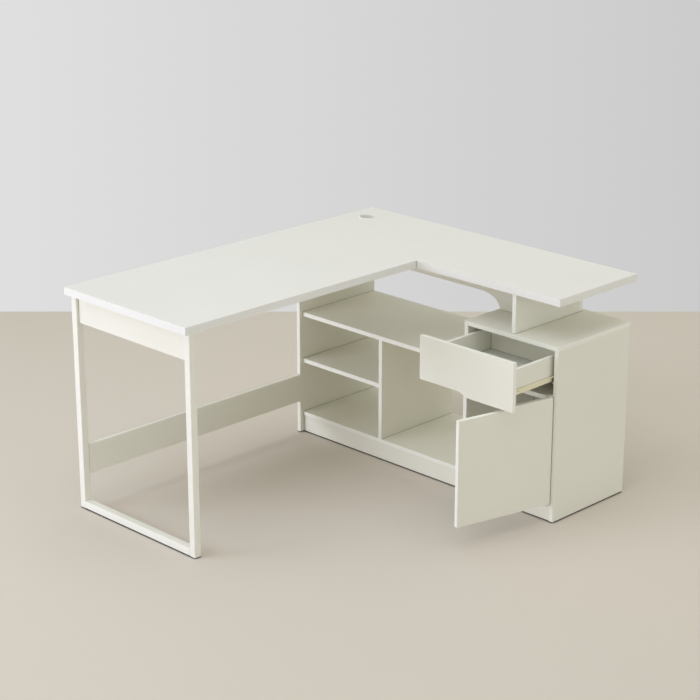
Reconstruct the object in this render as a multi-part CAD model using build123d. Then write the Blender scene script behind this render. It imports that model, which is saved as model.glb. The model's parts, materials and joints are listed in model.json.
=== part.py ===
from build123d import *
import math
import os

# Corner desk: an L-shaped top on a tube leg frame, an open shelf unit and a cabinet
# with one drawer and one door. Millimetres, +Z up, floor at z = 0, origin below the
# middle of the overall box. The long top runs along X, the return runs towards -Y.

# ---- driving dimensions ----
LENGTH = 1400.0          # long top, left to right
DEPTH = 1202.0           # back edge of the long top to the end of the return
TOP_Z = 759.0            # working height
TOP_T = 25.0
BOARD = 15.0
MAIN_DEPTH = 590.0
RETURN_WIDTH = 393.0
FLOOR_GAP = 4.0          # under the panels, on black glides
PAD_T = 3.0              # under the leg frame

LEFT, RIGHT = -LENGTH / 2, LENGTH / 2
BACK, END = DEPTH / 2, -DEPTH / 2
SEAM_Y = BACK - MAIN_DEPTH
UNDER = TOP_Z - TOP_T
CASE_X0 = RIGHT - RETURN_WIDTH          # front plane of shelves and cabinet
CASE_X1 = RIGHT - 25.0                  # back plane of the cabinet
SHELF_X1 = CASE_X1 - 3.0                # back plane of the shelf unit
CASE_TOP = 601.0
BASE_Z0, BASE_Z1 = 63.0, 78.0           # bottom boards
KICK_BACK = 3.0                         # plinths sit this far behind the boards
KICK_X = (CASE_X0 + KICK_BACK, CASE_X0 + KICK_BACK + BOARD)
FRONT_GAP = 1.0                         # bumper gap behind the closed fronts

# leg frame
TUBE, WALL = 25.0, 1.5
LEG_X0 = LEFT + 14.0
STRIP_INSET, PLUG_H = 0.3, 16.0
REAR_LEG_Y = (560.0, 585.0)
FRONT_LEG_Y = (SEAM_Y, SEAM_Y + TUBE)
PLATE_T = 2.0

# boards along the back run, as (low, high) in Y
TALL_Y = (560.0, 575.0)
DIVIDER_Y = (168.0, 183.0)
CASE_L_Y = (-222.0, -207.0)
CASE_R_Y = (END, END + BOARD)
INNER_Y = (CASE_R_Y[1], CASE_L_Y[0])
MID_Y = sum(INNER_Y) / 2
TALL_X0 = CASE_X0 - BOARD

# levels
TOP_SHELF_Z = (440.0, 455.0)
MID_SHELF_Z = (266.0, 281.0)
MID_BOARD_Z = (415.0, 430.0)
RAIL_Z0 = 651.0
SPINE_X = (475.0, 490.0)
SUPPORT_Y = (-417.0, -402.0)
SUPPORT_X0 = 314.0
RISER_X = (641.0, 656.0)
BACK_PANEL_X = (657.0, 660.0)

# drawer, described closed and then pulled out
DRAWER_OUT = 199.0
FRONT_X = (CASE_X0 - FRONT_GAP - BOARD, CASE_X0 - FRONT_GAP)
DRAWER_FRONT_Y = (-600.0, -208.0)
DRAWER_LOW_Z, DRAWER_HIGH_Z = 439.0, 453.0
DRAWER_CURVE_Y = (-425.0, -362.0)
BOX_LEN, BOX_T = 300.0, 12.0
BOX_Z = (482.0, 564.0)
BOX_HALF = (INNER_Y[1] - INNER_Y[0]) / 2 - 12.5
BOTTOM_Z = (488.0, 491.0)

# door, described closed and then swung open
DOOR_OPEN = 76.5
DOOR_Y = (-585.5, -223.5)
DOOR_Z0, DOOR_LOW_Z, DOOR_HIGH_Z = 66.0, 423.0, 432.0
DOOR_CURVE_Y = (-440.0, -377.0)
PIVOT = (300.0, -579.0)
PIN_R, BUSH_R, THRUST_R = 2.5, 4.5, 6.0
HINGE_ROUND = 6.0                        # inner corner of the door, clears the case as it swings

# roller runners
ROLLER_R, ROLLER_W = 8.0, 7.4
SHEET = 1.2
LANE_Z = 477.2                           # top of the fixed channel's lower flange
LIP_Z = (496.8, 498.0)
FIXED_ROLLER_X = CASE_X0 + 13.0
MOVING_ROLLER_X = CASE_X0 + 289.0

# cable grommet
GROMMET = (592.0, 518.0)
GROMMET_R, FLANGE_R, BORE_R = 30.0, 33.0, 27.5

os.makedirs("parts", exist_ok=True)
parts = {}


def block(x, y, z):
    """Box between two corners, each axis as (low, high)."""
    size = [b - a for a, b in (x, y, z)]
    mid = [(a + b) / 2 for a, b in (x, y, z)]
    return Pos(*mid) * Box(*size)


def rod(centre, radius, length, axis="Z"):
    """Cylinder centred on a point, along a row axis."""
    turn = {"X": (0, 90, 0), "Y": (90, 0, 0), "Z": (0, 0, 0)}[axis]
    return Pos(*centre) * Rot(*turn) * Cylinder(radius, length)


def drill(names, tool):
    for name in names:
        parts[name] -= tool


def slab_yz(points_wire, x):
    """Board in the Y-Z plane from a closed wire, between two X positions."""
    face = make_face(points_wire)
    return extrude(face, amount=x[1] - x[0], dir=(1, 0, 0))


def at_x(x0, y, z):
    return Vector(x0, y, z)


def curve(x0, start, end, reach=32.0):
    """Soft S between two level edges in the Y-Z plane."""
    (y0, z0), (y1, z1) = start, end
    step = reach if y1 > y0 else -reach
    pts = [at_x(x0, y0, z0), at_x(x0, y0 + step, z0), at_x(x0, y1 - step, z1), at_x(x0, y1, z1)]
    return Bezier(*pts)


# ---- tops ----
def make_tops():
    parts["main_top"] = block((LEFT, RIGHT), (SEAM_Y, BACK), (UNDER, TOP_Z))
    parts["return_top"] = block((CASE_X0, RIGHT), (END, SEAM_Y), (UNDER, TOP_Z))
    drill(["main_top"], rod((*GROMMET, TOP_Z - TOP_T / 2), GROMMET_R, TOP_T + 2))


def make_grommet():
    x, y = GROMMET
    flange = rod((x, y, TOP_Z + 0.75), FLANGE_R, 1.5)
    flange = fillet(flange.edges().sort_by(Axis.Z)[-1], 1.0)
    sleeve = rod((x, y, TOP_Z - 11), GROMMET_R - 0.1, 22)
    parts["grommet_ring"] = flange + sleeve - rod((x, y, TOP_Z - 10), BORE_R, 30)


# ---- leg frame ----
def tube(x, y, z, along):
    outer = block(x, y, z)
    edges = outer.edges().filter_by({"Y": Axis.Y, "Z": Axis.Z}[along])
    outer = fillet(edges, 2.0)
    inner = [(a + WALL, b - WALL) for a, b in (x, y, z)]
    index = "XYZ".index(along)
    span = (x, y, z)[index]
    inner[index] = (span[0] - 1, span[1] + 1)
    return outer - block(*inner)


def make_leg_frame():
    leg_x = (LEG_X0, LEG_X0 + TUBE)
    leg_z = (PAD_T, UNDER - PLATE_T)
    parts["frame_rear_leg"] = tube(leg_x, REAR_LEG_Y, leg_z, "Z")
    parts["frame_front_leg"] = tube(leg_x, FRONT_LEG_Y, leg_z, "Z")
    rail_y = (FRONT_LEG_Y[1], REAR_LEG_Y[0])
    parts["frame_bottom_rail"] = tube(leg_x, rail_y, (PAD_T, PAD_T + TUBE), "Y")
    plate_x, plate_z = (LEG_X0, LEG_X0 + 60), (UNDER - PLATE_T, UNDER)
    rear = block(plate_x, (REAR_LEG_Y[1] - 60, REAR_LEG_Y[1]), plate_z)
    front = block(plate_x, (FRONT_LEG_Y[0], FRONT_LEG_Y[0] + 60), plate_z)
    parts["leg_plates"] = Compound([rear, front])
    # one black strip under both legs and the rail, plugged into the open leg ends
    strip_x = (leg_x[0] + STRIP_INSET, leg_x[1] - STRIP_INSET)
    strip_y = (FRONT_LEG_Y[0] + STRIP_INSET, REAR_LEG_Y[1] - STRIP_INSET)
    strip = block(strip_x, strip_y, (0, PAD_T))
    plug = TUBE - 2 * WALL - 0.4
    for y in (REAR_LEG_Y, FRONT_LEG_Y):
        strip += Pos(LEG_X0 + TUBE / 2, sum(y) / 2, PAD_T + PLUG_H / 2) * Box(plug, plug, PLUG_H)
    parts["leg_foot_strip"] = strip
    apron = block((LEG_X0 + 9, LEG_X0 + 24), rail_y, (644, UNDER))
    parts["apron"] = apron - rear - front
    parts["stretcher"] = block((LEG_X0 + TUBE, TALL_X0), TALL_Y, (120, 221))
    bracket = block((LEG_X0 + TUBE, LEG_X0 + TUBE + 30), (TALL_Y[1], TALL_Y[1] + PLATE_T), (145, 195))
    parts["stretcher_bracket"] = bracket


# ---- open shelf unit ----
def make_shelf_unit():
    run = (CASE_L_Y[1], TALL_Y[0])
    depth = (CASE_X0, SHELF_X1)
    parts["tall_panel"] = block((TALL_X0, SHELF_X1), TALL_Y, (FLOOR_GAP, UNDER))
    parts["top_shelf"] = block(depth, run, TOP_SHELF_Z)
    parts["bottom_shelf"] = block(depth, run, (BASE_Z0, BASE_Z1))
    parts["divider"] = block(depth, DIVIDER_Y, (BASE_Z1, TOP_SHELF_Z[0]))
    parts["mid_shelf"] = block(depth, (DIVIDER_Y[1], TALL_Y[0]), MID_SHELF_Z)
    kick_z = (FLOOR_GAP, BASE_Z0)
    parts["shelf_plinth_front"] = block(KICK_X, run, kick_z)
    parts["shelf_plinth_rear"] = block((SHELF_X1 - BOARD, SHELF_X1), run, kick_z)


# ---- cabinet ----
def make_cabinet():
    depth = (CASE_X0, CASE_X1)
    parts["case_left_panel"] = block(depth, CASE_L_Y, (FLOOR_GAP, CASE_TOP - BOARD))
    parts["case_right_panel"] = block(depth, CASE_R_Y, (FLOOR_GAP, CASE_TOP - BOARD))
    parts["case_top"] = block(depth, (END, CASE_L_Y[1]), (CASE_TOP - BOARD, CASE_TOP))
    parts["case_bottom"] = block(depth, INNER_Y, (BASE_Z0, BASE_Z1))
    parts["case_mid_board"] = block((CASE_X0, BACK_PANEL_X[0] - 0.5), INNER_Y, MID_BOARD_Z)
    parts["case_plinth"] = block(KICK_X, INNER_Y, (FLOOR_GAP, BASE_Z0))
    back_y = (INNER_Y[0] - 6, INNER_Y[1] + 6)
    back_z = (BASE_Z1 - 6, CASE_TOP - BOARD + 6)
    parts["case_back_panel"] = block(BACK_PANEL_X, back_y, back_z)
    groove_x = (BACK_PANEL_X[0] - 0.1, BACK_PANEL_X[1] + 0.1)
    groove_y = (back_y[0] - 0.3, back_y[1] + 0.3)
    groove = block(groove_x, groove_y, (back_z[0] - 0.3, back_z[1] + 0.3))
    drill(["case_left_panel", "case_right_panel", "case_top", "case_bottom"], groove)


# ---- riser between the cabinet and the return top ----
def make_riser():
    x0 = SPINE_X[0]
    sweep_y, end_y = -128.0, -213.0
    low = Line(at_x(x0, TALL_Y[0], RAIL_Z0), at_x(x0, sweep_y, RAIL_Z0))
    bend = [at_x(x0, sweep_y, RAIL_Z0)]
    for i in range(1, 7):
        a = math.radians(15 * i)
        y = sweep_y - (sweep_y - end_y) * math.sin(a)
        bend.append(at_x(x0, y, CASE_TOP + (RAIL_Z0 - CASE_TOP) * math.cos(a)))
    sweep = Spline(*bend, tangents=[(0, -1, 0), (0, 0, -1)])
    corners = [(end_y, CASE_TOP), (SUPPORT_Y[1], CASE_TOP), (SUPPORT_Y[1], UNDER)]
    corners += [(TALL_Y[0], UNDER), (TALL_Y[0], RAIL_Z0)]
    rest = Polyline(*[at_x(x0, y, z) for y, z in corners])
    parts["spine_rail"] = slab_yz([low, sweep, rest], SPINE_X)
    lift = (CASE_TOP, UNDER)
    parts["support_panel"] = block((SUPPORT_X0, RISER_X[0]), SUPPORT_Y, lift)
    parts["riser_back"] = block(RISER_X, (SUPPORT_Y[0], end_y), lift)


# ---- drawer ----
def make_drawer():
    x0 = FRONT_X[0]
    (ya, yb), (c0, c1) = DRAWER_FRONT_Y, DRAWER_CURVE_Y
    low, high = DRAWER_LOW_Z, DRAWER_HIGH_Z
    grip = curve(x0, (c0, low), (c1, high))
    right = Line(at_x(x0, ya, low), at_x(x0, c0, low))
    edge = [(c1, high), (yb, high), (yb, CASE_TOP), (ya, CASE_TOP), (ya, low)]
    rest = Polyline(*[at_x(x0, y, z) for y, z in edge])
    parts["drawer_front"] = slab_yz([right, grip, rest], FRONT_X)
    box_x = (FRONT_X[1], FRONT_X[1] + BOX_LEN)
    out = (MID_Y - BOX_HALF, MID_Y + BOX_HALF)
    inn = (out[0] + BOX_T, out[1] - BOX_T)
    parts["drawer_side_right"] = block(box_x, (out[0], inn[0]), BOX_Z)
    parts["drawer_side_left"] = block(box_x, (inn[1], out[1]), BOX_Z)
    back_z = (BOTTOM_Z[1], BOX_Z[1])
    parts["drawer_back"] = block((box_x[1] - BOX_T, box_x[1]), inn, back_z)
    floor_x = (FRONT_X[1] - 5, box_x[1])
    parts["drawer_bottom"] = block(floor_x, (inn[0] - 5, inn[1] + 5), BOTTOM_Z)
    slot_y = (inn[0] - 5.2, inn[1] + 5.2)
    slot = block((floor_x[0] - 0.2, floor_x[1] + 1), slot_y, (BOTTOM_Z[0] - 0.1, BOTTOM_Z[1]))
    drill(["drawer_front", "drawer_side_right", "drawer_side_left"], slot)


# ---- runners, one side described with s = -1 for the right, +1 for the left ----
def fixed_runner(s):
    wall = MID_Y + s * (INNER_Y[1] - INNER_Y[0]) / 2
    web_y = sorted((wall, wall - s * SHEET))
    lane_y = sorted((wall, wall - s * 9.8))
    run = (CASE_X0 + 2, CASE_X0 + 302)
    body = block(run, web_y, (LANE_Z - SHEET, LANE_Z + 18.5))
    body += block(run, lane_y, (LANE_Z - SHEET, LANE_Z))
    body += block((FIXED_ROLLER_X + 11, run[1]), lane_y, (LANE_Z + 17.3, LANE_Z + 18.5))
    axle = (FIXED_ROLLER_X, wall - s * 5.1, LIP_Z[0] - ROLLER_R - 0.05)
    return body + rod(axle, 2.0, 9.6, "Y")


def moving_runner(s):
    side = MID_Y + s * BOX_HALF
    run = (FRONT_X[1] + 2, FRONT_X[1] + BOX_LEN)
    web_y = sorted((side, side + s * SHEET))
    body = block(run, web_y, (BOX_Z[0] - 1.5, LIP_Z[1]))
    body += block(run, sorted((side - s * BOX_T, side)), (BOX_Z[0] - 1.5, BOX_Z[0]))
    body += block(run, sorted((side + s * SHEET, side + s * 9)), LIP_Z)
    axle = (MOVING_ROLLER_X, side + s * 5.1, LANE_Z + ROLLER_R + 0.05)
    return body + rod(axle, 2.0, 9.2, "Y")


def roller(x, y, z):
    wheel = rod((x, y, z), ROLLER_R, ROLLER_W, "Y")
    return wheel - rod((x, y, z), 2.05, ROLLER_W + 2, "Y")


def make_runners():
    half = (INNER_Y[1] - INNER_Y[0]) / 2
    for s, side in ((-1, "right"), (1, "left")):
        parts["fixed_runner_" + side] = fixed_runner(s)
        parts["moving_runner_" + side] = moving_runner(s)
        fixed_y = MID_Y + s * (half - 6.2)
        moving_y = MID_Y + s * (BOX_HALF + 6.0)
        fixed_z = LIP_Z[0] - ROLLER_R - 0.05
        moving_z = LANE_Z + ROLLER_R + 0.05
        parts["fixed_roller_" + side] = roller(FIXED_ROLLER_X, fixed_y, fixed_z)
        parts["moving_roller_" + side] = roller(MOVING_ROLLER_X, moving_y, moving_z)


# ---- door and its pivots ----
def make_door():
    x0 = FRONT_X[0]
    (ya, yb), (c0, c1) = DOOR_Y, DOOR_CURVE_Y
    grip = curve(x0, (c0, DOOR_HIGH_Z), (c1, DOOR_LOW_Z))
    right = Line(at_x(x0, ya, DOOR_HIGH_Z), at_x(x0, c0, DOOR_HIGH_Z))
    edge = [(c1, DOOR_LOW_Z), (yb, DOOR_LOW_Z), (yb, DOOR_Z0), (ya, DOOR_Z0), (ya, DOOR_HIGH_Z)]
    rest = Polyline(*[at_x(x0, y, z) for y, z in edge])
    leaf = slab_yz([right, grip, rest], FRONT_X)
    inner_corner = leaf.edges().filter_by(Axis.Z).sort_by(Axis.Y)[:2].sort_by(Axis.X)[-1]
    leaf = fillet(inner_corner, HINGE_ROUND)
    bushes = []
    for face_z, sign in ((DOOR_Z0, -1), (DOOR_HIGH_Z, 1)):
        inner = face_z - sign * 7
        thrust = 2.9 if sign < 0 else 1.9
        leaf -= rod((*PIVOT, inner), BUSH_R + 0.02, 14.0)
        bush = rod((*PIVOT, inner), BUSH_R, 14.0)
        bush += rod((*PIVOT, face_z + sign * thrust / 2), THRUST_R, thrust)
        bushes.append(bush - rod((*PIVOT, inner), PIN_R + 0.05, 40.0))
    parts["door"] = leaf
    parts["door_bushes"] = Compound(bushes)
    dots = []
    for y in (-240.0, -560.0):
        dots += [rod((FRONT_X[1] + 0.4, y, z), 4.0, 0.8, "X") for z in (DOOR_Z0 + 6, DOOR_LOW_Z - 4)]
    parts["door_bumpers"] = Compound(dots)


def make_pivot_plates():
    y = (INNER_Y[0] + 0.5, INNER_Y[0] + 16.5)
    low = block((FRONT_X[0] + 0.5, CASE_X0 + 14), y, (BASE_Z0 - 2, BASE_Z0))
    low += rod((*PIVOT, BASE_Z0 + 7), PIN_R, 14.0)
    parts["pivot_plate_bottom"] = low
    drill(["case_plinth"], block((CASE_X0, CASE_X0 + 20), y, (BASE_Z0 - 2, BASE_Z0)))
    high_z = DOOR_HIGH_Z + 2
    high = block((FRONT_X[0] + 0.5, CASE_X0 + 33), (INNER_Y[0], y[1]), (high_z, high_z + 2))
    high += block((CASE_X0 + 5, CASE_X0 + 33), (INNER_Y[0], INNER_Y[0] + 2), (high_z, high_z + 28))
    high += rod((*PIVOT, high_z - 6), PIN_R, 14.0)
    parts["pivot_plate_top"] = high


# ---- fittings ----
def wood_screw(head, direction, length, bore_in, plate=PLATE_T):
    """Pan-head screw standing on a plate; head is the centre of the plate's outer face."""
    axis = "XYZ"[[abs(v) for v in direction].index(1)]
    along = Vector(*direction)
    start = Vector(*head)
    cap = start - along * 1.0
    stem = start + along * (length / 2)
    shaft = rod(tuple(stem), 1.7, length, axis)
    drill(bore_in, rod(tuple(stem), 1.72, length + 0.2, axis))
    return rod(tuple(cap), 3.4, 2.0, axis) + shaft


def make_screws():
    plates, joint = [], []
    for x in (395.0, 600.0):
        plate = block((x - 18, x + 18), (SEAM_Y - 45, SEAM_Y + 45), (UNDER - PLATE_T, UNDER))
        plates.append(plate)
    parts["seam_plates"] = Compound(plates)
    for x in (395.0, 600.0):
        for dy, top in ((-30, "return_top"), (30, "main_top")):
            head = (x, SEAM_Y + dy, UNDER - PLATE_T)
            joint.append(wood_screw(head, (0, 0, 1), 16.0, ["seam_plates", top]))
    parts["seam_screws"] = Compound(joint)
    legs = []
    for y in (REAR_LEG_Y[1] - 52, FRONT_LEG_Y[0] + 52):
        for x in (LEG_X0 + 34, LEG_X0 + 52):
            head = (x, y, UNDER - PLATE_T)
            legs.append(wood_screw(head, (0, 0, 1), 16.0, ["leg_plates", "main_top"]))
    parts["leg_plate_screws"] = Compound(legs)
    brace = []
    for z in (158.0, 182.0):
        head = (LEG_X0 + TUBE + 17, TALL_Y[1] + PLATE_T, z)
        brace.append(wood_screw(head, (0, -1, 0), 12.0, ["stretcher_bracket", "stretcher"]))
    parts["bracket_screws"] = Compound(brace)
    pivot = []
    for x in (CASE_X0 + 12, CASE_X0 + 26):
        head = (x, INNER_Y[0] + 2, DOOR_HIGH_Z + 20)
        pivot.append(wood_screw(head, (0, -1, 0), 12.0, ["pivot_plate_top", "case_right_panel"]))
    parts["pivot_screws"] = Compound(pivot)


def make_runner_screws():
    case, box = [], []
    for s, side, panel in ((-1, "right", "case_right_panel"), (1, "left", "case_left_panel")):
        wall = MID_Y + s * (INNER_Y[1] - INNER_Y[0]) / 2
        web = "fixed_runner_" + side
        for x in (CASE_X0 + 60, CASE_X0 + 270):
            stem = (x, wall + s * 4.4, LANE_Z + 8.8)
            drill([web, panel], rod(stem, 1.72, 11.4, "Y"))
            head = rod((x, wall - s * (SHEET + 0.5), LANE_Z + 8.8), 3.2, 1.0, "Y")
            case.append(head + rod(stem, 1.7, 11.2, "Y"))
        face = MID_Y + s * BOX_HALF
        web, panel = "moving_runner_" + side, "drawer_side_" + side
        for x in (FRONT_X[1] + 40, FRONT_X[1] + 240):
            stem = (x, face - s * 2.6, BOTTOM_Z[1])
            drill([web, panel], rod(stem, 1.52, 7.8, "Y"))
            head = rod((x, face + s * (SHEET + 0.5), BOTTOM_Z[1]), 2.9, 1.0, "Y")
            box.append(head + rod(stem, 1.5, 7.6, "Y"))
    parts["case_runner_screws"] = Compound(case)
    parts["drawer_runner_screws"] = Compound(box)


def cam_joint(board, panel, x, y_end, s, z):
    """Cam lock in a board's underside and its bolt into a panel; s points at the panel."""
    low = z[0]
    cam = (x, y_end - s * 34, low + 6.2)
    drill([board], rod((cam[0], cam[1], low + 6), 7.55, 13.0))
    stem = (x, y_end - s * 9, sum(z) / 2)
    drill([board], rod(stem, 3.55, 34.4, "Y"))
    drill([panel], rod((x, y_end + s * 4.9, sum(z) / 2), 2.52, 10.4, "Y"))
    thin = rod((x, y_end + s * 4.7, sum(z) / 2), 2.5, 10.0, "Y")
    bolt = rod((x, y_end - s * 12.7, sum(z) / 2), 3.0, 25.0, "Y") + thin
    lock = rod((cam[0], cam[1], low + 6.2), 7.5, 12.0)
    slot = block((x - 5.5, x + 5.5), (cam[1] - 0.7, cam[1] + 0.7), (low - 1, low + 2.2))
    pocket = block((x - 3.4, x + 3.4), sorted((cam[1], cam[1] + s * 9)), (low + 3, low + 13))
    return lock - slot - pocket, bolt


def make_cams():
    rows = [
        ("top_shelf", "tall_panel", TALL_Y[0], 1, TOP_SHELF_Z, 60),
        ("top_shelf", "case_left_panel", CASE_L_Y[1], -1, TOP_SHELF_Z, 60),
        ("mid_shelf", "tall_panel", TALL_Y[0], 1, MID_SHELF_Z, 60),
        ("mid_shelf", "divider", DIVIDER_Y[1], -1, MID_SHELF_Z, 60),
        ("bottom_shelf", "tall_panel", TALL_Y[0], 1, (BASE_Z0, BASE_Z1), 60),
        ("bottom_shelf", "case_left_panel", CASE_L_Y[1], -1, (BASE_Z0, BASE_Z1), 60),
        ("case_bottom", "case_left_panel", INNER_Y[1], 1, (BASE_Z0, BASE_Z1), 90),
        ("case_bottom", "case_right_panel", INNER_Y[0], -1, (BASE_Z0, BASE_Z1), 90),
        ("case_mid_board", "case_left_panel", INNER_Y[1], 1, MID_BOARD_Z, 90),
        ("case_mid_board", "case_right_panel", INNER_Y[0], -1, MID_BOARD_Z, 90),
    ]
    locks, bolts = [], []
    for board, panel, y_end, s, z, inset in rows:
        for x in (CASE_X0 + inset, SHELF_X1 - inset):
            lock, bolt = cam_joint(board, panel, x, y_end, s, z)
            locks.append(lock)
            bolts.append(bolt)
    parts["cam_locks"] = Compound(locks)
    parts["cam_bolts"] = Compound(bolts)


def make_dowels():
    """Wooden pegs between boards, as (point on the joint, axis, the two boards)."""
    y_tall, y_div = sum(TALL_Y) / 2, sum(DIVIDER_Y) / 2
    y_l, y_r, y_sup = sum(CASE_L_Y) / 2, sum(CASE_R_Y) / 2, sum(SUPPORT_Y) / 2
    x_spine, x_apron = sum(SPINE_X) / 2, LEG_X0 + 16.5
    case_z = CASE_TOP - BOARD
    joints = []
    for x in (CASE_X0 + 40, SHELF_X1 - 40):
        joints.append(((x, y_tall, UNDER), "Z", ("tall_panel", "main_top")))
        joints.append(((x, y_div, TOP_SHELF_Z[0]), "Z", ("divider", "top_shelf")))
        joints.append(((x, y_div, BASE_Z1), "Z", ("divider", "bottom_shelf")))
        joints.append(((x, y_l, case_z), "Z", ("case_left_panel", "case_top")))
        joints.append(((x, y_r, case_z), "Z", ("case_right_panel", "case_top")))
        joints.append(((x - 20, y_sup, UNDER), "Z", ("support_panel", "return_top")))
        joints.append(((x - 20, y_sup, CASE_TOP), "Z", ("support_panel", "case_top")))
    for y in (-350.0, -60.0):
        joints.append(((x_spine, y, UNDER), "Z", ("spine_rail", "return_top")))
    joints.append(((x_spine, 300.0, UNDER), "Z", ("spine_rail", "main_top")))
    for y in (180.0, 420.0):
        joints.append(((x_apron, y, UNDER), "Z", ("apron", "main_top")))
    for z in (145.0, 196.0):
        joints.append(((TALL_X0, y_tall, z), "X", ("stretcher", "tall_panel")))
    pegs = []
    for point, axis, boards in joints:
        thin = "top_shelf" in boards or "bottom_shelf" in boards or "case_top" in boards
        reach = 9.0 if thin else 12.0
        drill(boards, rod(point, 4.02, 2 * reach + 0.4, axis))
        pegs.append(rod(point, 4.0, 2 * reach, axis))
    parts["dowels"] = Compound(pegs)


def make_glides():
    glides = []
    y_tall, y_l, y_r = sum(TALL_Y) / 2, sum(CASE_L_Y) / 2, sum(CASE_R_Y) / 2
    places = [(x, y, name) for y, name in
              ((y_tall, "tall_panel"), (y_l, "case_left_panel"), (y_r, "case_right_panel"))
              for x in (CASE_X0 + 28, SHELF_X1 - 49)]
    kick_x = sum(KICK_X) / 2
    for y in (235.0, -190.0):
        places.append((kick_x, y, "shelf_plinth_front"))
        places.append((SHELF_X1 - BOARD / 2, y, "shelf_plinth_rear"))
    places.append((kick_x, MID_Y, "case_plinth"))
    for x, y, name in places:
        drill([name], rod((x, y, FLOOR_GAP + 5), 1.52, 12.2))
        glides.append(rod((x, y, FLOOR_GAP / 2), 6.5, FLOOR_GAP) + rod((x, y, FLOOR_GAP + 5), 1.5, 12.0))
    parts["floor_glides"] = Compound(glides)


def place_moving():
    """Move the closed drawer and door to the position the desk is shown in."""
    drawer = [name for name in parts if name.startswith(("drawer_", "moving_"))]
    for name in drawer:
        parts[name] = Pos(-DRAWER_OUT, 0, 0) * parts[name]
    swing = Pos(*PIVOT, 0) * Rot(0, 0, DOOR_OPEN) * Pos(-PIVOT[0], -PIVOT[1], 0)
    for name in ("door", "door_bushes", "door_bumpers"):
        parts[name] = swing * parts[name]


make_tops()
make_grommet()
make_leg_frame()
make_shelf_unit()
make_cabinet()
make_riser()
make_drawer()
make_runners()
make_door()
make_pivot_plates()
make_screws()
make_runner_screws()
make_cams()
make_dowels()
make_glides()
place_moving()

for name, shape in parts.items():
    shape.label = name
    export_step(shape, os.path.join("parts", name + ".step"))
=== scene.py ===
import json
import math

import bmesh
import bpy
from mathutils import Matrix, Vector


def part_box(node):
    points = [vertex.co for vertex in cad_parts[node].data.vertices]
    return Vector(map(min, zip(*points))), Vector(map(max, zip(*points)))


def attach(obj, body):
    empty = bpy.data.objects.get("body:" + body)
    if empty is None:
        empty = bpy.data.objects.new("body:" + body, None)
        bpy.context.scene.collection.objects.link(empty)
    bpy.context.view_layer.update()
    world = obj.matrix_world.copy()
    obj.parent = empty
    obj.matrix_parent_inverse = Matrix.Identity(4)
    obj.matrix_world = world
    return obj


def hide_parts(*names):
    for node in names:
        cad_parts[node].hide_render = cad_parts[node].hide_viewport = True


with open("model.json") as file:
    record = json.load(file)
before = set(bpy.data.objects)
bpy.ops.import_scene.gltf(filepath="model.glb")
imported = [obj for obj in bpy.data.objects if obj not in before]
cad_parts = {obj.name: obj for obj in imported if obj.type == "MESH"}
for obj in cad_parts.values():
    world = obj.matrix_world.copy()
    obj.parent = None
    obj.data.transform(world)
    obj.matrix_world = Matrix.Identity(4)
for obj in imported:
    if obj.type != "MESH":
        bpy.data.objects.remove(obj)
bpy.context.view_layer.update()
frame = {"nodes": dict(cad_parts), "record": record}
nodes = frame["nodes"]

MM = 0.001


# ---- camera ----
CAMERA_AT = Vector((-4.2736, -4.2445, 2.5925))
AZIMUTH, ELEVATION, LENS = -45.085, 18.967, 100.87


def make_camera():
    a, e = math.radians(AZIMUTH), math.radians(ELEVATION)
    ahead = Vector((-math.sin(a) * math.cos(e), math.cos(a) * math.cos(e), -math.sin(e)))
    data = bpy.data.cameras.new("camera")
    data.lens, data.sensor_width = LENS, 36.0
    cam = bpy.data.objects.new("camera", data)
    cam.location = CAMERA_AT
    cam.rotation_euler = ahead.to_track_quat("-Z", "Y").to_euler()
    bpy.context.scene.collection.objects.link(cam)
    bpy.context.scene.camera = cam


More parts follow.
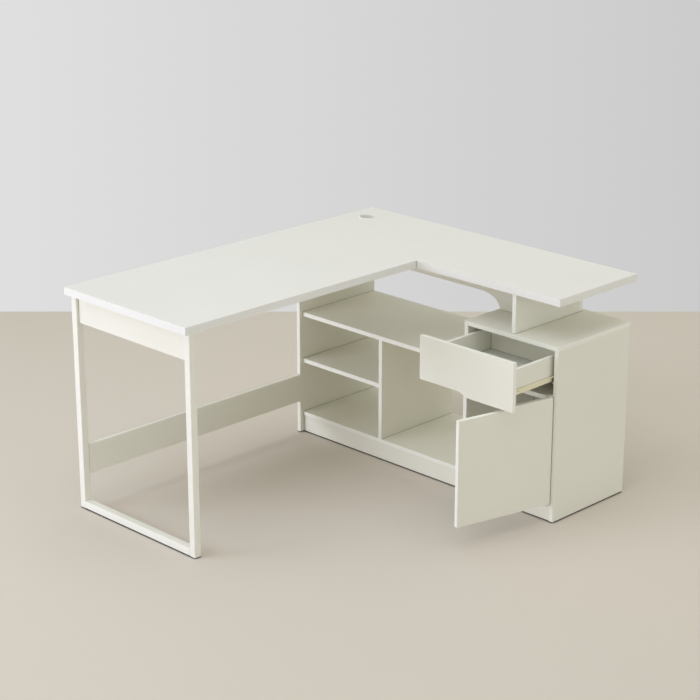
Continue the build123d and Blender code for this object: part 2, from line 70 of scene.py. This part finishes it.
# ---- node helpers ----
class Graph:
    """A material's node tree with short calls for the nodes used here."""

    def __init__(self, name):
        self.material = bpy.data.materials.new(name)
        self.material.use_nodes = True
        self.tree = self.material.node_tree
        self.shader = self.tree.nodes["Principled BSDF"]

    def node(self, kind, **values):
        made = self.tree.nodes.new(kind)
        for key, value in values.items():
            setattr(made, key, value)
        return made

    def link(self, source, target):
        self.tree.links.new(source, target)

    def place(self):
        return self.node("ShaderNodeTexCoord").outputs["Object"]

    def noise(self, scale, detail=3.0, roughness=0.5, vector=None):
        made = self.node("ShaderNodeTexNoise")
        made.inputs["Scale"].default_value = scale
        made.inputs["Detail"].default_value = detail
        made.inputs["Roughness"].default_value = roughness
        self.link(vector or self.place(), made.inputs["Vector"])
        return made.outputs["Fac"]

    def ramp(self, fac, low, high, out_low=0.0, out_high=1.0):
        made = self.node("ShaderNodeMapRange")
        for key, value in zip(("From Min", "From Max", "To Min", "To Max"), (low, high, out_low, out_high)):
            made.inputs[key].default_value = value
        self.link(fac, made.inputs["Value"])
        return made.outputs["Result"]

    def mix(self, fac, a, b):
        made = self.node("ShaderNodeMix", data_type="RGBA")
        self.link(fac, made.inputs["Factor"])
        for socket, value in ((made.inputs[6], a), (made.inputs[7], b)):
            if isinstance(value, bpy.types.NodeSocket):
                self.link(value, socket)
            else:
                socket.default_value = (*value, 1.0)
        return made.outputs[2]

    def bump(self, height, strength, distance):
        made = self.node("ShaderNodeBump")
        made.inputs["Strength"].default_value = strength
        made.inputs["Distance"].default_value = distance
        self.link(height, made.inputs["Height"])
        self.link(made.outputs["Normal"], self.shader.inputs["Normal"])

    def near_edge(self, radius):
        """0 on flat stretches, rising to 1 within a radius of an edge."""
        soft = self.node("ShaderNodeBevel", samples=6)
        soft.inputs["Radius"].default_value = radius
        sharp = self.node("ShaderNodeNewGeometry")
        dot = self.node("ShaderNodeVectorMath", operation="DOT_PRODUCT")
        self.link(soft.outputs["Normal"], dot.inputs[0])
        self.link(sharp.outputs["Normal"], dot.inputs[1])
        return self.ramp(dot.outputs["Value"], 1.0, 0.75)

    def crevice_shade_mask(self, reach, low=0.5, high=0.85):
        """1 in a joint or thin gap, falling to 0 where nothing stands within reach; it masks painted shade.
        """
        cover = self.node("ShaderNodeAmbientOcclusion", samples=6)
        cover.inputs["Distance"].default_value = reach
        return self.ramp(cover.outputs["AO"], low, high, 1.0, 0.0)


def shade(colour, factor):
    return tuple(min(1.0, channel * factor) for channel in colour)


# ---- materials ----
def laminate(name, colour, rough, through=None):
    """White melamine face: faint cloudiness, a fine pressed grain, a painted highlight along the edges and
    painted shade in joints and gaps.

    through is the way through the board's thickness; faces that turn from it are
    the brighter plastic edge band."""
    g = Graph(name)
    cloud = g.ramp(g.noise(2.5, 2.0), 0.3, 0.7)
    face = g.mix(cloud, shade(colour, 0.985), shade(colour, 1.01))
    if through is not None:
        turn = g.node("ShaderNodeVectorMath", operation="DOT_PRODUCT")
        turn.inputs[1].default_value = through
        g.link(g.node("ShaderNodeTexCoord").outputs["Normal"], turn.inputs[0])
        flat = g.node("ShaderNodeMath", operation="ABSOLUTE")
        g.link(turn.outputs["Value"], flat.inputs[0])
        band = g.mix(cloud, EDGE_BAND, shade(EDGE_BAND, 1.01))
        face = g.mix(g.ramp(flat.outputs[0], 0.6, 0.4), face, band)
    edge = g.near_edge(1.6 * MM)
    # painted highlight: the colour is lighter near the edges, with a little random tone
    edge_highlight = g.mix(g.ramp(g.noise(60.0, 4.0), 0.35, 0.65), shade(colour, 0.98), shade(colour, 1.1))
    # painted shade: the colour goes darker in joints and thin gaps
    colour_with_painted_shade = g.mix(g.crevice_shade_mask(5 * MM), g.mix(edge, face, edge_highlight), shade(colour, 0.56))
    g.link(colour_with_painted_shade, g.shader.inputs["Base Color"])
    g.link(g.ramp(g.noise(35.0, 4.0), 0.3, 0.7, rough - 0.04, rough + 0.05), g.shader.inputs["Roughness"])
    g.shader.inputs["IOR"].default_value = 1.46
    g.bump(g.noise(1400.0, 2.0, 0.6), 0.25, 0.05 * MM)
    return g.material


def powder_coat(name, colour, rough, grain=1100.0):
    """Baked powder on steel: orange-peel skin, a painted highlight on the edges and painted shade in joints
    and gaps.
    """
    g = Graph(name)
    cloud = g.ramp(g.noise(9.0, 3.0), 0.3, 0.7)
    face = g.mix(cloud, shade(colour, 0.975), shade(colour, 1.01))
    edge = g.near_edge(1.0 * MM)
    # painted highlight lighter on the edges, and painted shade darker in joints and gaps
    colour_with_painted_shade = g.mix(g.crevice_shade_mask(3 * MM), g.mix(edge, face, shade(colour, 1.06)), shade(colour, 0.8))
    g.link(colour_with_painted_shade, g.shader.inputs["Base Color"])
    g.link(g.ramp(g.noise(50.0, 4.0), 0.3, 0.7, rough - 0.05, rough + 0.06), g.shader.inputs["Roughness"])
    g.bump(g.noise(grain, 2.0, 0.5), 0.35, 0.06 * MM)
    return g.material


def zinc(name):
    g = Graph(name)
    spangle = g.ramp(g.noise(220.0, 5.0, 0.7), 0.3, 0.7)
    g.link(g.mix(spangle, (0.42, 0.42, 0.40), (0.66, 0.66, 0.64)), g.shader.inputs["Base Color"])
    g.link(g.ramp(g.noise(130.0, 4.0), 0.3, 0.7, 0.22, 0.42), g.shader.inputs["Roughness"])
    g.shader.inputs["Metallic"].default_value = 1.0
    g.bump(g.noise(900.0, 2.0), 0.2, 0.03 * MM)
    return g.material


def plastic(name, colour, rough, grain=800.0):
    """Moulded plastic with a light spark texture and a painted highlight on the edges."""
    g = Graph(name)
    cloud = g.ramp(g.noise(30.0, 3.0), 0.3, 0.7)
    edge = g.near_edge(0.8 * MM)
    body = g.mix(cloud, shade(colour, 0.94), shade(colour, 1.05))
    # painted highlight: lighter near the edges
    g.link(g.mix(edge, body, shade(colour, 1.15)), g.shader.inputs["Base Color"])
    g.link(g.ramp(g.noise(90.0, 3.0), 0.3, 0.7, rough - 0.06, rough + 0.08), g.shader.inputs["Roughness"])
    g.bump(g.noise(grain, 2.0), 0.3, 0.05 * MM)
    return g.material


def beech(name):
    g = Graph(name)
    stretch = g.node("ShaderNodeMapping")
    stretch.inputs["Scale"].default_value = (1.0, 1.0, 0.08)
    g.link(g.place(), stretch.inputs["Vector"])
    grain = g.ramp(g.noise(700.0, 5.0, 0.7, stretch.outputs["Vector"]), 0.35, 0.65)
    g.link(g.mix(grain, (0.42, 0.26, 0.14), (0.62, 0.43, 0.26)), g.shader.inputs["Base Color"])
    g.link(g.ramp(grain, 0.0, 1.0, 0.5, 0.65), g.shader.inputs["Roughness"])
    g.bump(grain, 0.2, 0.05 * MM)
    return g.material


WHITE = (0.84, 0.825, 0.735)
WHITE_ROUGH = 0.45
EDGE_BAND = (0.905, 0.9, 0.83)
MATERIALS = {
    "top_board": laminate("top_board", (0.849, 0.84, 0.808), 0.40),
    "white_board": laminate("white_board", WHITE, WHITE_ROUGH),
    "thin_board": laminate("thin_board", (0.72, 0.73, 0.68), 0.6),
    "white_steel": powder_coat("white_steel", (0.871, 0.857, 0.784), 0.4),
    "runner_steel": powder_coat("runner_steel", (0.88, 0.82, 0.60), 0.35, 1600.0),
    "zinc_steel": zinc("zinc_steel"),
    "roller_nylon": plastic("roller_nylon", (0.045, 0.045, 0.048), 0.45),
    "black_plastic": plastic("black_plastic", (0.03, 0.03, 0.03), 0.6),
    "white_plastic": plastic("white_plastic", (0.88, 0.88, 0.86), 0.3),
    "bumper_rubber": plastic("bumper_rubber", (0.55, 0.55, 0.52), 0.3),
    "beech": beech("beech"),
}
# softening of sharp edges by slot, in millimetres
EDGE_RADIUS = {
    "top_board": 1.0, "white_board": 0.9, "thin_board": 0.2,
    "black_plastic": 0.4, "runner_steel": 0.2,
}


def thickness_way(obj):
    """Unit vector through a board: the face normal that covers the most area."""
    total = {}
    for face in obj.data.polygons:
        key = tuple(round(abs(c), 2) for c in face.normal)
        total[key] = total.get(key, 0.0) + face.area
    key = max(total, key=total.get)
    for face in obj.data.polygons:
        if tuple(round(abs(c), 2) for c in face.normal) == key:
            return tuple(face.normal)


def dress_frame():
    """Every CAD node gets its slot's material; nodes whose slot is in EDGE_RADIUS also get softened edges.
    """
    boards = {}
    for part in frame["record"]["subparts"]:
        obj, slot = nodes[part["node"]], part["material_slot"]
        if not obj.material_slots:
            obj.data.materials.append(None)
        material = MATERIALS[slot]
        if slot == "white_board":
            way = thickness_way(obj)
            kind = "".join(f"{abs(c):.1f}_" for c in way)
            if kind not in boards:
                boards[kind] = laminate(slot, WHITE, WHITE_ROUGH, way)
            material = boards[kind]
        for holder in obj.material_slots:
            holder.material = material
        if slot in EDGE_RADIUS:
            weld = obj.modifiers.new("weld", "WELD")
            weld.merge_threshold = 1e-5
            bevel = obj.modifiers.new("soft_edge", "BEVEL")
            bevel.width, bevel.segments = EDGE_RADIUS[slot] * MM, 2
            bevel.limit_method, bevel.angle_limit = "ANGLE", math.radians(40)
            bevel.harden_normals = True


# ---- meshes made here ----
def piece(name, mesh, slot, body, *replaced):
    """A finished object that stands for CAD nodes and rides on their body."""
    mesh.materials.clear()
    mesh.materials.append(MATERIALS[slot])
    obj = bpy.data.objects.new(name, mesh)
    bpy.context.scene.collection.objects.link(obj)
    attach(obj, body)
    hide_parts(*replaced)
    return obj


def smooth(mesh, degrees=35):
    mesh.polygons.foreach_set("use_smooth", [True] * len(mesh.polygons))
    mesh.set_sharp_from_angle(angle=math.radians(degrees))
    mesh.update()


def revolve(bm, profile, place, steps=48):
    """Turns a closed (radius, height) loop in millimetres about Z, then places it."""
    rings = []
    for i in range(steps):
        a = 2 * math.pi * i / steps
        ring = [bm.verts.new(place @ Vector((r * MM * math.cos(a), r * MM * math.sin(a), h * MM)))
                for r, h in profile]
        rings.append(ring)
    for i in range(steps):
        here, there = rings[i], rings[(i + 1) % steps]
        for j in range(len(profile)):
            k = (j + 1) % len(profile)
            bm.faces.new((here[j], there[j], there[k], here[k]))


def mesh_from(bm, name):
    bmesh.ops.remove_doubles(bm, verts=bm.verts, dist=1e-7)
    bmesh.ops.dissolve_degenerate(bm, dist=1e-8, edges=bm.edges)
    bmesh.ops.recalc_face_normals(bm, faces=bm.faces)
    mesh = bpy.data.meshes.new(name)
    bm.to_mesh(mesh)
    bm.free()
    smooth(mesh)
    return mesh


def middle(node):
    low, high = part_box(node)
    return (low + high) / 2


def make_grommet():
    """Cable sleeve: rounded flange, a bead round the mouth and a thin wall below."""
    low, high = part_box("grommet_ring")
    centre = middle("grommet_ring")
    top = 1.5
    foot = (low.z - high.z) / MM + top
    profile = [(33.0, 0.0), (33.0, 0.55), (32.7, 1.0), (32.1, 1.35), (31.3, top), (29.3, top)]
    profile += [(28.5, 1.4), (27.9, 1.1), (27.55, 0.6), (27.5, 0.0), (27.5, foot), (29.2, foot)]
    profile += [(29.6, foot + 1.5), (29.6, -4.0), (29.9, -3.0), (29.9, 0.0)]
    bm = bmesh.new()
    revolve(bm, profile, Matrix.Translation((centre.x, centre.y, high.z - top * MM)), 96)
    piece("cable_grommet", mesh_from(bm, "cable_grommet"), "white_plastic", "desk", "grommet_ring")


def make_rollers():
    """Nylon wheels with a hub, a dished web and chamfered rims, on their own bodies."""
    half = [(2.05, 3.7), (3.5, 3.7), (3.9, 2.9), (6.2, 2.9), (6.6, 3.7), (7.4, 3.7), (8.0, 3.1)]
    profile = half + [(r, -h) for r, h in reversed(half)]
    for kind in ("fixed", "moving"):
        for side in ("left", "right"):
            node = f"{kind}_roller_{side}"
            bm = bmesh.new()
            place = Matrix.Translation(middle(node)) @ Matrix.Rotation(math.radians(90), 4, "X")
            revolve(bm, profile, place)
            mesh = mesh_from(bm, node + "_wheel")
            piece(node + "_wheel", mesh, "roller_nylon", f"{kind}_roller_{side[0]}", node)


def islands(node):
    """The separate solids of a CAD node, each as a list of points."""
    mesh = nodes[node].data
    spot = [tuple(round(c, 6) for c in v.co) for v in mesh.vertices]
    parent = {p: p for p in spot}

    def root(p):
        while parent[p] != p:
            p = parent[p]
        return p

    for face in mesh.polygons:
        first = root(spot[face.vertices[0]])
        for v in face.vertices:
            parent[root(spot[v])] = first
    groups = {}
    for p in parent:
        groups.setdefault(root(p), []).append(Vector(p))
    return [groups[key] for key in sorted(groups)]


def screw_facts(points):
    """Where a screw's head face is, the way it points, its radii, head height and length."""
    low = Vector(map(min, zip(*points)))
    high = Vector(map(max, zip(*points)))
    size = high - low
    axis = max(range(3), key=lambda i: size[i])
    centre = (low + high) / 2

    def off_axis(p):
        away = p - centre
        away[axis] = 0.0
        return away.length

    head_r = max(map(off_axis, points))
    rim = [p[axis] for p in points if off_axis(p) > 0.95 * head_r]
    shank_r = min(off_axis(p) for p in points if off_axis(p) > 0.2 * head_r)
    head_low = abs(min(rim) - low[axis]) < abs(high[axis] - max(rim))
    way = Vector((0, 0, 0))
    way[axis] = 1.0 if head_low else -1.0
    start = centre.copy()
    start[axis] = low[axis] if head_low else high[axis]
    return start, way, head_r / MM, shank_r / MM, (max(rim) - min(rim)) / MM, size[axis] / MM


def screw_template(head_r, shank_r, head_t, length):
    """Domed head with a cross recess at the origin, shank and point along +Z."""
    dome = [(0.0, 0.0), (0.45 * head_r, 0.06 * head_t), (0.75 * head_r, 0.25 * head_t)]
    dome += [(0.93 * head_r, 0.55 * head_t), (head_r, head_t), (shank_r, head_t)]
    tip = [(shank_r, length - 2.2 * shank_r), (0.25 * shank_r, length - 0.1), (0.0, length)]
    bm = bmesh.new()
    revolve(bm, dome + tip, Matrix.Identity(4), 24)
    body = bpy.data.objects.new("screw", mesh_from(bm, "screw"))
    cross = bmesh.new()
    for turn in (0, 90):
        arm = Matrix.Rotation(math.radians(turn), 4, "Z")
        size = (1.15 * head_r * MM, 0.22 * head_r * MM, 0.9 * head_t * MM)
        bmesh.ops.create_cube(cross, size=1.0, matrix=arm @ Matrix.Diagonal((*size, 1.0)))
    tool_mesh = bpy.data.meshes.new("cross")
    cross.to_mesh(tool_mesh)
    cross.free()
    tool = bpy.data.objects.new("cross", tool_mesh)
    for obj in (body, tool):
        bpy.context.scene.collection.objects.link(obj)
    cut = body.modifiers.new("cut", "BOOLEAN")
    cut.operation, cut.object, cut.solver, cut.use_self = "DIFFERENCE", tool, "EXACT", True
    graph = bpy.context.evaluated_depsgraph_get()
    mesh = bpy.data.meshes.new_from_object(body.evaluated_get(graph))
    for obj in (body, tool):
        bpy.data.objects.remove(obj)
    return mesh


SCREWS = {
    "seam_screws": "desk", "leg_plate_screws": "desk", "bracket_screws": "desk",
    "pivot_screws": "desk", "case_runner_screws": "desk", "drawer_runner_screws": "drawer",
}


def make_screws():
    for node, body in SCREWS.items():
        bm, template = bmesh.new(), None
        for points in islands(node):
            start, way, *sizes = screw_facts(points)
            template = template or screw_template(*sizes)
            turn = Vector((0, 0, 1)).rotation_difference(way).to_matrix().to_4x4()
            copy = template.copy()
            copy.transform(Matrix.Translation(start) @ turn)
            bm.from_mesh(copy)
            bpy.data.meshes.remove(copy)
        piece(node + "_cross", mesh_from(bm, node + "_cross"), "zinc_steel", body, node)


# ---- stage ----
FLOOR_SIZE, FLOOR_BACK = 9.0, 2.03
FLOOR_COLOUR = (0.693, 0.635, 0.563)
WALL_REACH, WALL_LEFT, WALL_RIGHT = 0.18, 0.74, 0.60
FILL_COLOUR, FILL_STRENGTH = (1.0, 1.0, 0.886), 0.561
LIGHT_AIM = (0.1, 0.0, 0.4)
# name, place, size, watts, colour
LIGHTS = [
    ("key", (-5.0, 3.0, 1.3), (2.5, 2.0), 152.0, (0.785, 0.822, 1.0)),
    ("overhead", (-0.3, 0.0, 4.5), (4.0, 4.0), 45.0, (0.91, 0.924, 1.0)),
    ("overhead_left", (-3.0, 0.0, 4.5), (3.0, 3.0), 42.0, (0.805, 0.846, 1.0)),
    ("front_fill", (0.5, -6.0, 1.2), (3.0, 2.0), 40.5, (0.83, 0.867, 1.0)),
    ("right_fill", (5.0, 0.0, 3.5), (3.0, 3.0), 18.6, (1.0, 0.968, 0.828)),
]


def make_floor():
    """Plain floor whose back edge is square to the first view."""
    size = FLOOR_SIZE
    mesh = bpy.data.meshes.new("floor")
    turn = Matrix.Rotation(math.radians(AZIMUTH), 4, "Z")
    corners = [(-size, -size), (size, -size), (size, FLOOR_BACK), (-size, FLOOR_BACK)]
    mesh.from_pydata([turn @ Vector((x, y, 0)) for x, y in corners], [], [(0, 1, 2, 3)])
    floor = bpy.data.objects.new("floor", mesh)
    bpy.context.scene.collection.objects.link(floor)
    g = Graph("floor")
    cloud = g.ramp(g.noise(0.7, 2.0), 0.3, 0.7)
    face = g.mix(cloud, shade(FLOOR_COLOUR, 0.99), shade(FLOOR_COLOUR, 1.01))
    # painted contact shadow: the floor goes dark in the thin gaps under the desk's panels, rails and glides
    floor_with_painted_shadow = g.mix(g.crevice_shade_mask(14 * MM, 0.35, 0.75), face, shade(FLOOR_COLOUR, 0.15))
    g.link(floor_with_painted_shadow, g.shader.inputs["Base Color"])
    g.shader.inputs["Roughness"].default_value = 0.62
    g.shader.inputs["IOR"].default_value = 1.3
    mesh.materials.append(g.material)


def area_light(name, at, size, power, colour):
    data = bpy.data.lights.new(name, "AREA")
    data.shape, data.size, data.size_y = "RECTANGLE", size[0], size[1]
    data.energy, data.color = power, colour
    light = bpy.data.objects.new(name, data)
    light.location = at
    light.rotation_euler = (Vector(LIGHT_AIM) - Vector(at)).to_track_quat("-Z", "Y").to_euler()
    bpy.context.scene.collection.objects.link(light)


def wall_tone(tree):
    """Pale grey, with painted light: a little lighter towards the left of the first view."""
    a = math.radians(AZIMUTH)
    direction = tree.nodes.new("ShaderNodeTexCoord")
    across = tree.nodes.new("ShaderNodeVectorMath")
    across.operation = "DOT_PRODUCT"
    across.inputs[1].default_value = (math.cos(a), math.sin(a), 0.0)
    tree.links.new(direction.outputs["Generated"], across.inputs[0])
    tone = tree.nodes.new("ShaderNodeMapRange")
    spans = {"From Min": -WALL_REACH, "From Max": WALL_REACH, "To Min": WALL_LEFT, "To Max": WALL_RIGHT}
    for key, value in spans.items():
        tone.inputs[key].default_value = value
    tree.links.new(across.outputs["Value"], tone.inputs["Value"])
    return tone.outputs["Result"]


def make_world():
    """Soft fill for the light, and the wall's tone where the camera sees past the floor."""
    world = bpy.data.worlds.new("studio")
    bpy.context.scene.world = world
    world.use_nodes = True
    tree = world.node_tree
    tree.nodes.clear()
    out = tree.nodes.new("ShaderNodeOutputWorld")
    mix = tree.nodes.new("ShaderNodeMixShader")
    ray = tree.nodes.new("ShaderNodeLightPath")
    fill = tree.nodes.new("ShaderNodeBackground")
    fill.inputs["Color"].default_value = (*FILL_COLOUR, 1.0)
    fill.inputs["Strength"].default_value = FILL_STRENGTH
    wall = tree.nodes.new("ShaderNodeBackground")
    tree.links.new(wall_tone(tree), wall.inputs["Color"])
    tree.links.new(ray.outputs["Is Camera Ray"], mix.inputs[0])
    tree.links.new(fill.outputs[0], mix.inputs[1])
    tree.links.new(wall.outputs[0], mix.inputs[2])
    tree.links.new(mix.outputs[0], out.inputs["Surface"])


def make_stage():
    make_floor()
    for light in LIGHTS:
        area_light(*light)
    make_world()
    bpy.context.scene.view_settings.view_transform = "Standard"


make_camera()
dress_frame()
make_grommet()
make_rollers()
make_screws()
make_stage()
